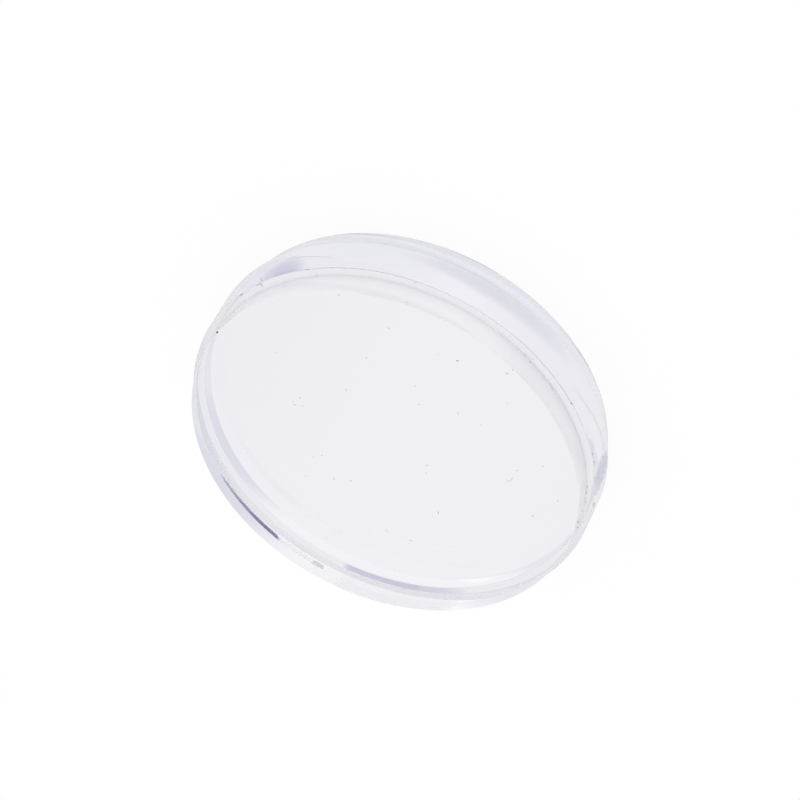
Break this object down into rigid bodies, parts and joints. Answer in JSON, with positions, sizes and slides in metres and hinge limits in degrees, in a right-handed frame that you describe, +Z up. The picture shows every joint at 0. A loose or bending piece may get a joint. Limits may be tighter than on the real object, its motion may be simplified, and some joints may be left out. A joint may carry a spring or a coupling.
{
  "type": "dental milling disc",
  "caption": "Clear acrylic blank disc with a clamping rim round its middle, which a dental mill holds while it cuts restorations from it.",
  "frame": {"origin": "centre of the lower face, where the disc's axis meets the surface it rests on", "axes": "+Z up along the disc's axis; X and Y lie in the lower face"},
  "size_m": [0.0984, 0.0984, 0.022],
  "materials": {
    "clear_acrylic": "clear polymethyl methacrylate, polished faces and a turned wall"
  },
  "bodies": {
    "root": {"milling_disc": "clear_acrylic"}
  },
  "joints": []
}
